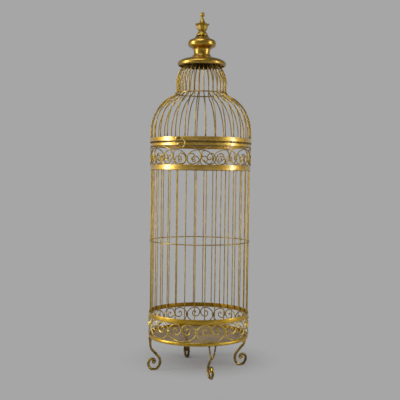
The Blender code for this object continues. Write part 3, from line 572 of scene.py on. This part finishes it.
def makeFloor():
    low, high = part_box("mesh_floor")
    bm = bmesh.new()
    roundedBand(bm, high.x - floor["rim"], high.x, low.z, high.z, floor["edge"], floor["steps"])
    reach = high.x - floor["rim"] / 2
    count = int(reach / floor["pitch"])
    radius = floor["wire"] / 2
    for i in range(-count, count + 1):
        offset = i * floor["pitch"]
        length = 2 * math.sqrt(reach ** 2 - offset ** 2)
        across = Matrix.Translation((0, offset, low.z + radius)) @ Matrix.Rotation(math.pi / 2, 4, "Y")
        along = Matrix.Translation((offset, 0, high.z - radius)) @ Matrix.Rotation(math.pi / 2, 4, "X")
        for turned in (across, along):
            bmesh.ops.create_cone(bm, cap_ends=True, cap_tris=False, segments=floor["sides"], radius1=radius,
                                  radius2=radius, depth=length, matrix=turned)
    finished("floorMesh", bm, floorWire, "cage", ["mesh_floor"])


# Feet: a scroll of round bar under a fork of two wires. The scroll is given as shares of the swing inwards
# and of the height, and a prong as shares of the swing, of the spread and of the height.
foot = dict(bar=7.9 * mm, fork=4.7 * mm, flat=0.8 * mm, swing=42.5 * mm, spread=18.8 * mm,
            start=math.radians(37.3), count=4, twist=math.radians(5), tip=4.1 * mm, steps=7,
            forkBead=0.72, neckBead=0.56,
            scroll=((0.110, 0.645), (0.460, 0.483), (0.665, 0.380), (0.757, 0.265), (0.735, 0.150),
                    (0.610, 0.055), (0.425, 0.0), (0.235, 0.0), (0.050, 0.034), (-0.085, 0.128),
                    (-0.105, 0.235), (0.0, 0.312), (0.170, 0.335), (0.320, 0.305), (0.365, 0.250),
                    (0.300, 0.207), (0.225, 0.235)),
            prong=((0.0, 1.0, 1.0), (0.030, 0.65, 0.750), (0.120, 0.26, 0.615)))


def makeFoot(number, finish):
    low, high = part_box(f"foot_{number}")
    hoopLow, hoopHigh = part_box("base_hoop")
    radius = hoopHigh.x - hoop["wall"] / 2
    lowest = foot["bar"] / 2 - foot["flat"]
    rise = high.z - lowest

    def place(inward, up, side=0.0):
        return Vector((side, -(radius - foot["swing"] * inward), lowest + rise * up))

    run = [place(inward, up) for inward, up in foot["scroll"]]
    twist = Matrix.Rotation(foot["twist"], 3, "Z")  # the scroll stands a little off the radius, as welded on
    run = [run[0] + twist @ (point - run[0]) for point in run]
    bm = bmesh.new()
    bendWires(bm, [smooth(run, foot["steps"])], foot["bar"] / 2, sides=16)
    prongs = []
    for side in (-1, 1):
        line = [place(inward, up, side * foot["spread"] / 2 * spread) for inward, spread, up in foot["prong"]]
        prongs.append(smooth(line, foot["steps"]))
        bead(bm, line[0], foot["fork"] * foot["forkBead"])
    bendWires(bm, prongs, foot["fork"] / 2)
    bead(bm, run[0], foot["bar"] * foot["neckBead"])
    ball(bm, run[-1], foot["tip"], 16, 10)
    for point in bm.verts:
        point.co.z = min(max(point.co.z, low.z), hoopLow.z)
    turn = foot["start"] + tau * (number - 1) / foot["count"]
    bmesh.ops.rotate(bm, verts=bm.verts, cent=(0, 0, 0), matrix=Matrix.Rotation(turn, 3, "Z"))
    finished(f"scrollFoot{number}", bm, finish, "cage", [f"foot_{number}"])


# Dome: bent ribs, welded inside the neck ring. The lower line runs from the lid strap to the neck and the
# upper one on to the cap, as shares of the width and of the height between them.
dome = dict(wire=3.3 * mm, count=32, start=math.radians(3.9), steps=7, wander=0.5 * mm, wanderScale=8.0,
            weld=2.2 * mm, weldFlat=0.85, neckRing=79.7 * mm, neckBite=1.2 * mm, neckRise=151.5 * mm,
            neckSteps=112, neckWeldIn=0.9, neckWeldFlat=1.1,
            lower=((1.0, 0.0), (0.995, 0.299), (0.909, 0.498), (0.720, 0.696), (0.403, 0.865)),
            upper=((1.0, 0.0), (0.93, 0.40), (0.50, 0.68), (0.0, 0.83), (0.0, 1.0)))


def ribLine():
    low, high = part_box("dome_ribs")
    wire = dome["wire"]
    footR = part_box("lid_strap")[1].x - strap["wall"] - wire / 2
    neckR = dome["neckRing"] - 1.5 * wire + dome["neckBite"]
    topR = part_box("rib_cap")[1].x + wire / 2
    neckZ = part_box("rim_strap")[1].z + dome["neckRise"]
    points = placed(dome["lower"], neckR, footR, low.z, neckZ)
    points += placed(dome["upper"], topR, neckR, neckZ, high.z)
    return smooth(points, dome["steps"]), neckZ


def makeDome():
    line, neckZ = ribLine()
    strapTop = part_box("lid_strap")[1].z
    wire = dome["wire"]
    bm = bmesh.new()
    runs = []
    for i in range(dome["count"]):
        angle = dome["start"] + tau * i / dome["count"]
        run = []
        for step, point in enumerate(line):
            free = math.sin(math.pi * step / (len(line) - 1))
            at = around(point.x, angle, point.y)
            run.append(at + noise.noise_vector(at * dome["wanderScale"]) * dome["wander"] * free)
        runs.append(run)
        bead(bm, around(line[0].x, angle, strapTop), dome["weld"], dome["weldFlat"], angle)
        neck = around(dome["neckRing"] - wire * dome["neckWeldIn"], angle, neckZ)
        bead(bm, neck, dome["weld"], dome["neckWeldFlat"], angle)
    bendWires(bm, runs, wire / 2)
    bendWires(bm, [ringRun(dome["neckRing"] - wire / 2, neckZ, dome["neckSteps"])], wire / 2, ring=True)
    finished("domeRibs", bm, ribGold, "lid", ["dome_ribs"])


# Finial: spun skirt, turned knob, fluted crown and ball on the rib cap, drawn down by one rod. Each profile
# is given as shares of the radius and of the height, and hollow is the part of the skirt's that is thin.
finial = dict(wall=1.2 * mm, bore=2.3 * mm, skirtR=73.3 * mm, knobR=42.4 * mm, crownR=20.9 * mm, steps=128,
              skirtSteps=6, knobSteps=5, crownSteps=6, hollow=slice(3, -4), capEdge=0.35 * mm, capCorner=1.0,
              skirt=((0.941, 0.0), (0.980, 0.045), (1.0, 0.174), (0.990, 0.310), (0.948, 0.432),
                     (0.819, 0.613), (0.538, 0.813), (0.423, 0.903), (0.393, 1.0)),
              knob=((0.632, 0.0), (0.590, 0.053), (0.575, 0.116), (0.585, 0.215), (0.627, 0.314),
                    (0.743, 0.383), (0.901, 0.436), (0.981, 0.505), (1.0, 0.589), (0.972, 0.680),
                    (0.882, 0.762), (0.684, 0.825), (0.575, 0.871), (0.505, 0.924), (0.439, 0.974),
                    (0.422, 1.0)),
              crown=((0.833, 0.0), (0.823, 0.030), (0.780, 0.077), (0.632, 0.155), (0.488, 0.220),
                     (0.507, 0.245), (0.641, 0.288), (0.756, 0.413), (0.813, 0.505), (1.0, 0.584),
                     (1.0, 0.613), (0.584, 0.652), (0.421, 0.709), (0.282, 0.813), (0.201, 0.941),
                     (0.187, 1.0)))


def insetLine(points, wall):
    made = []
    for i, point in enumerate(points):
        run = (points[min(i + 1, len(points) - 1)] - points[max(i - 1, 0)]).normalized()
        made.append(point + Vector((-run.y, run.x)) * wall)
    return made


def boredSolid(line, low, high, steps):  # from the bore out along the line and back to the bore
    bm = bmesh.new()
    bore = finial["bore"]
    lathe(bm, [Vector((bore, low.z)), *line, Vector((bore, high.z))], steps, closed=True)
    return bm


def makeFinial():
    low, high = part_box("rib_cap")
    bm = bmesh.new()
    wall, bore = strap["wall"], finial["bore"]
    cap = ((bore, high.z - wall), (high.x - wall, high.z - wall), (high.x - wall, low.z), (high.x, low.z),
           (high.x, high.z), (bore, high.z))
    lathe(bm, cap, finial["steps"], closed=True)
    rim = [edge for edge in bm.edges if edge.calc_face_angle(0.0) > finial["capCorner"]]
    bmesh.ops.bevel(bm, geom=rim, offset=finial["capEdge"], segments=2, profile=0.5, affect="EDGES",
                    material=-1)
    # the cap is painted shadow black
    finished("ribCap", bm, shadowBlack, "lid", ["rib_cap"])

    low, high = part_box("finial_skirt")
    outer = smooth(placed(finial["skirt"], 0.0, finial["skirtR"], low.z, high.z), finial["skirtSteps"])
    inner = insetLine(outer[finial["hollow"]], finial["wall"])
    deck = [Vector((bore, high.z)), Vector((bore, high.z - finial["wall"]))]
    bm = bmesh.new()
    lathe(bm, outer + deck + list(reversed(inner)), finial["steps"], closed=True)
    finished("finialSkirt", bm, finialGold, "lid", ["finial_skirt"])

    low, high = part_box("finial_knob")
    line = smooth(placed(finial["knob"], 0.0, finial["knobR"], low.z, high.z), finial["knobSteps"])
    bm = boredSolid(line, low, high, finial["steps"])
    cutSlot(finished("finialKnob", bm, finialGold, "lid", ["finial_knob"]))
    makeCrown()

    low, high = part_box("finial_ball")
    bm = bmesh.new()
    radius = (high.x - low.x) / 2
    ball(bm, (0, 0, high.z - radius), radius, 48, 28)
    finished("finialBall", bm, crownGold, "lid", ["finial_ball"])


# The crown's cup is fluted from one point of its profile to a little over another one
flutes = dict(count=16, sides=10, depth=0.75 * mm, level=0.8, foot=6, lip=10, end=1.12, rise=0.15, fall=0.1)


def makeCrown():
    low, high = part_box("finial_crown")
    points = placed(finial["crown"], 0.0, finial["crownR"], low.z, high.z)
    bm = boredSolid(smooth(points, finial["crownSteps"]), low, high, flutes["count"] * flutes["sides"])
    cupFoot, cupLip = points[flutes["foot"]].y, points[flutes["lip"]].y
    for point in bm.verts:
        radius = math.hypot(point.co.x, point.co.y)
        t = (point.co.z - cupFoot) / (cupLip - cupFoot)
        if 0.0 < t < flutes["end"] and radius > 2 * finial["bore"]:
            angle = math.atan2(point.co.x, -point.co.y)
            swell = abs(math.cos(angle * flutes["count"] / 2)) - flutes["level"]
            fade = min(t / flutes["rise"], 1.0) * min((flutes["end"] - t) / flutes["fall"], 1.0)
            grown = (radius + swell * flutes["depth"] * fade) / radius
            point.co.x *= grown
            point.co.y *= grown
    finished("finialCrown", bm, crownGold, "lid", ["finial_crown"])


# The dark gap in front, just under the crown's foot. Its top and its foot are counted down from there.
knobSlot = dict(depth=8 * mm, top=1.2 * mm, foot=5.6 * mm, centre=math.radians(7), sweep=math.radians(70),
                steps=24, merge=0.001 * mm)


def cutSlot(piece):
    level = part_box("finial_crown")[0].z
    footR = finial["crownR"] * finial["crown"][0][0]
    inner, outer = footR - knobSlot["depth"] / 2, footR + knobSlot["depth"]
    below, above = level - knobSlot["foot"], level - knobSlot["top"]
    start = knobSlot["centre"] - knobSlot["sweep"] / 2
    profile = ((inner, below), (outer, below), (outer, above), (inner, above))
    bm = bmesh.new()
    face = bm.faces.new([bm.verts.new(around(radius, start, z)) for radius, z in profile])
    bmesh.ops.spin(bm, geom=[face, *face.edges, *face.verts], axis=(0, 0, 1), cent=(0, 0, 0),
                   angle=knobSlot["sweep"], steps=knobSlot["steps"])
    bmesh.ops.remove_doubles(bm, verts=bm.verts, dist=knobSlot["merge"])
    bmesh.ops.recalc_face_normals(bm, faces=bm.faces)
    mesh = bpy.data.meshes.new("slotCutter")
    bm.to_mesh(mesh)
    bm.free()
    mesh.materials.append(shadowBlack)  # the cut faces are painted shadow black
    cutter = bpy.data.objects.new("slotCutter", mesh)
    bpy.context.scene.collection.objects.link(cutter)
    cut = piece.modifiers.new("slot", "BOOLEAN")
    cut.operation = "DIFFERENCE"
    cut.material_mode = "TRANSFER"
    cut.object = cutter
    bpy.context.view_layer.update()
    done = bpy.data.meshes.new_from_object(piece.evaluated_get(bpy.context.evaluated_depsgraph_get()))
    piece.modifiers.clear()
    piece.data = done
    bpy.data.objects.remove(cutter)


# Hardware: hinge leaves, pin, rod and nut keep their packed outline and get eased edges. rivetIn is counted
# from a leaf's end and rivetOut from the strap's face, and rivetSide is a share of the leaf's width.
hardware = dict(leafEdge=0.22 * mm, pinEdge=0.2 * mm, rodEdge=0.3 * mm, nutEdge=0.35 * mm,
                merge=0.002 * mm, level=math.radians(4), corner=math.radians(30), rivet=1.7 * mm,
                rivetFlat=0.55, rivetIn=3.4 * mm, rivetOut=1.8 * mm, rivetSide=0.32)


def easedCopy(name, node, body, finish, easing, rivets=()):
    bm = bmesh.new()
    bm.from_mesh(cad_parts[node].data)
    bmesh.ops.remove_doubles(bm, verts=bm.verts, dist=hardware["merge"])
    bmesh.ops.dissolve_limit(bm, angle_limit=hardware["level"], verts=bm.verts, edges=bm.edges)
    corners = [edge for edge in bm.edges
               if edge.is_manifold and edge.calc_face_angle(0.0) > hardware["corner"]]
    bmesh.ops.bevel(bm, geom=corners, offset=easing, segments=2, profile=0.5, affect="EDGES",
                    clamp_overlap=True, material=-1)
    for place in rivets:
        bead(bm, place, hardware["rivet"], hardware["rivetFlat"])
    finished(name, bm, finish, body, [node])


def makeHinge():
    leaves = (("hingeLowerLeaf", "hinge_lower_leaf", "cage"), ("hingeUpperLeaf", "hinge_upper_leaf", "lid"))
    for name, node, body in leaves:
        low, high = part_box(node)
        top = node == "hinge_upper_leaf"
        level = high.z - hardware["rivetIn"] if top else low.z + hardware["rivetIn"]
        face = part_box("lid_strap" if top else "rim_strap")[1].y + hardware["rivetOut"]
        places = [(side * (high.x - low.x) * hardware["rivetSide"], face, level) for side in (-1, 1)]
        easedCopy(name, node, body, hardwareGold, hardware["leafEdge"], places)
    easedCopy("hingePin", "hinge_pin", "cage", hardwareGold, hardware["pinEdge"])
    easedCopy("tieRod", "tie_rod", "lid", hardwareGold, hardware["rodEdge"])
    easedCopy("tieNut", "tie_nut", "lid", hardwareGold, hardware["nutEdge"])


# Latch: a bent hook on a riveted stud, and the headed stud that it catches
latch = dict(wire=3.2 * mm, ball=2.1 * mm, reach=25.2 * mm, drop=26.5 * mm, pivotX=-12.1 * mm, rise=8.7 * mm,
             shank=1.5 * mm, keeperNeck=1.8 * mm, standoff=3.2 * mm, play=0.3 * mm, sides=14, steps=8,
             eyeSteps=32,
             hook=((0.102, 0.085), (0.270, 0.120), (0.500, 0.070), (0.775, -0.075), (0.960, -0.360),
                   (1.0, -0.620), (0.910, -0.850), (0.740, -1.0)))
stud = dict(headT=1.4 * mm, headSteps=8, base=0.8, shoulder=0.8, shoulderR=0.9, play=0.6 * mm, steps=40,
            sharp=50)


def makeStud(name, node, body, neck):
    low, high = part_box(node)
    middle = (low + high) / 2
    head, length = (high.x - low.x) / 2, high.y - low.y
    base = head * stud["base"]
    neckTo = length - stud["headT"]
    neckFrom = neckTo - latch["wire"] - stud["play"]
    turns = [math.pi / 2 * i / stud["headSteps"] for i in range(stud["headSteps"])]
    rounded = [(head * math.cos(turn), neckTo + stud["headT"] * math.sin(turn)) for turn in turns]
    profile = [(0.0, 0.0), (base, 0.0), (base, neckFrom * stud["shoulder"]),
               (base * stud["shoulderR"], neckFrom), (neck, neckFrom), (neck, neckTo), *rounded,
               (0.0, length)]
    bm = bmesh.new()
    lathe(bm, profile, stud["steps"])
    turned = Matrix.Translation((middle.x, high.y, middle.z)) @ Matrix.Rotation(math.pi / 2, 4, "X")
    bmesh.ops.transform(bm, matrix=turned, verts=bm.verts)
    finished(name, bm, hardwareGold, body, [node], stud["sharp"])


def makeLatch():
    makeStud("latchPivot", "latch_pivot", "lid", latch["shank"])
    makeStud("latchKeeper", "latch_keeper", "cage", latch["keeperNeck"])
    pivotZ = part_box("lid_strap")[0].z + latch["rise"]
    level = -(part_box("lid_strap")[1].x + latch["standoff"])
    pivot = Vector((latch["pivotX"], level, pivotZ))
    run = [pivot + Vector((latch["reach"] * out, 0, latch["drop"] * up)) for out, up in latch["hook"]]
    bm = bmesh.new()
    bendWires(bm, [smooth(run, latch["steps"])], latch["wire"] / 2, latch["sides"])
    eyeR = latch["shank"] + latch["play"] + latch["wire"] / 2
    turns = [tau * i / latch["eyeSteps"] for i in range(latch["eyeSteps"])]
    eye = [pivot + Vector((eyeR * math.cos(turn), 0, eyeR * math.sin(turn))) for turn in turns]
    bendWires(bm, [eye], latch["wire"] / 2, latch["sides"], ring=True)
    ball(bm, run[-1], latch["ball"], 24, 14)
    finished("latchHook", bm, hardwareGold, "hook", ["latch_hook"])


makeHoop()
makeFloor()
for number in range(1, foot["count"] + 1):
    # the foot behind, number 3, gets the painted shade finish
    makeFoot(number, shadedFootGold if number == 3 else footGold)
# the lower frieze gets the lighter copy, in painted light
makeFrieze("lowerFrieze", "lower_frieze", frieze["lowerTurn"], True, litScrollGold)
makeStrap("lowerStrap", "lower_strap", "cage", baseGold)
makeBars()
makeMidRing()
makeStrap("upperStrap", "upper_strap", "cage", strapGold)
makeFrieze("upperFrieze", "upper_frieze", frieze["upperTurn"], False, scrollGold)
makeStrap("rimStrap", "rim_strap", "cage", strapGold)
print("cage made")
makeStrap("lidStrap", "lid_strap", "lid", strapGold, strap["lidSag"])
makeDome()
makeFinial()
makeHinge()
makeLatch()
print("lid and latch made")


# Stage: a pale grey floor that runs into a backdrop of the same grey, with its soft shadows kept
stage = dict(grey=0.381, floorGrey=0.325, floorRough=0.9, radius=9.0, sides=96, near=0.04, far=0.29,
             fadeBack=0.12, ambient=0.50, room=0.145, roomSpan=(-0.80, 0.0), ceiling=0.9)
photoTurn = math.radians(21.375)  # the camera's angle, counted from the latch towards +X


def makeStage():
    bm = bmesh.new()
    bmesh.ops.create_circle(bm, cap_ends=True, segments=stage["sides"], radius=stage["radius"])
    mesh = bpy.data.meshes.new("studioFloor")
    bm.to_mesh(mesh)
    bm.free()
    ground = bpy.data.objects.new("studioFloor", mesh)
    bpy.context.scene.collection.objects.link(ground)
    made, start, shader = newMaterial("studioGrey")
    shader.inputs["Base Color"].default_value = greyOf(stage["floorGrey"])
    shader.inputs["Roughness"].default_value = stage["floorRough"]
    shader.inputs["Specular IOR Level"].default_value = 0.0
    place = start.node("ShaderNodeTexCoord", {}, {}, "Object")
    away = place.measured("DISTANCE", around(-stage["fadeBack"], photoTurn, 0.0))
    fade = away.stretched(stage["near"], stage["far"])
    glow = start.node("ShaderNodeEmission", {}, {"Color": greyOf(stage["grey"]), "Strength": 1.0})
    mixed = start.node("ShaderNodeMixShader", {}, {0: fade, 1: Mask(start.tree, shader.outputs[0]), 2: glow})
    mixed.feeds(start.tree.nodes["Material Output"], "Surface")
    mesh.materials.append(made)


def makeWorld():  # the room behind the camera is darker than the backdrop, which gives the gilding its depth
    world = bpy.data.worlds.new("studio")
    bpy.context.scene.world = world
    world.use_nodes = True
    start = Mask(world.node_tree)
    direct = start.node("ShaderNodeLightPath", {}, {}, "Is Camera Ray")
    path = direct.socket.node.outputs
    seen = direct + Mask(start.tree, path["Is Glossy Ray"]) + Mask(start.tree, path["Is Transmission Ray"])
    way = start.node("ShaderNodeTexCoord", {}, {}, "Generated")
    facing = way.measured("DOT_PRODUCT", around(1.0, photoTurn, 0.0))
    upwards = way.node("ShaderNodeSeparateXYZ", {}, {0: way}, "Z")
    dim = (facing + upwards * stage["ceiling"]).stretched(*stage["roomSpan"]) * (1.0 - direct)
    room = dim.blended(greyOf(stage["grey"]), greyOf(stage["room"]))
    backdrop = start.node("ShaderNodeBackground", {}, {"Color": room, "Strength": 1.0})
    light = start.node("ShaderNodeBackground", {}, {"Color": greyOf(stage["ambient"]), "Strength": 1.0})
    mixed = start.node("ShaderNodeMixShader", {}, {0: seen, 1: light, 2: backdrop})
    mixed.feeds(start.tree.nodes["World Output"], "Surface")


# Lamps: a tall soft box at each side, and a wide one overhead. Turns are counted from the camera, and lean
# is the share of the fall towards the target that a lamp keeps.
lamps = (dict(name="leftBox", turn=math.radians(-78), away=1.9, height=1.1, size=(0.62, 2.1), power=31.0,
              lean=0.35),
         dict(name="rightBox", turn=math.radians(74), away=2.0, height=1.1, size=(0.34, 2.1), power=17.5,
              lean=0.35),
         dict(name="overhead", turn=math.radians(-30), away=1.1, height=2.8, size=(1.2, 1.2), power=22.0,
              lean=1.0))
lampTarget = Vector((0, 0, 0.62))


def makeLamps():
    for look in lamps:
        lamp = bpy.data.lights.new(look["name"], "AREA")
        lamp.shape = "RECTANGLE"
        lamp.size, lamp.size_y = look["size"]
        lamp.energy = look["power"]
        holder = bpy.data.objects.new(look["name"], lamp)
        holder.location = around(look["away"], photoTurn + look["turn"], look["height"])
        aim = lampTarget - holder.location
        aim.z *= look["lean"]
        holder.rotation_euler = aim.to_track_quat("-Z", "Y").to_euler()
        holder.visible_camera = False
        bpy.context.scene.collection.objects.link(holder)


camera = dict(distance=2.2701, height=0.5837, down=math.radians(1.808), roll=math.radians(0.747), lens=67.39,
              sensor=36.0)


def makeCamera():
    data = bpy.data.cameras.new("photoCamera")
    data.lens = camera["lens"]
    data.sensor_width = camera["sensor"]
    holder = bpy.data.objects.new("photoCamera", data)
    place = Matrix.Translation(around(camera["distance"], photoTurn, camera["height"]))
    holder.matrix_world = (place @ Matrix.Rotation(photoTurn, 4, "Z")
                           @ Matrix.Rotation(math.pi / 2 - camera["down"], 4, "X")
                           @ Matrix.Rotation(camera["roll"], 4, "Z"))
    bpy.context.scene.collection.objects.link(holder)
    bpy.context.scene.camera = holder


makeStage()
makeWorld()
makeLamps()
makeCamera()
bpy.context.scene.view_settings.view_transform = "Standard"
print("stage, lamps and camera made")
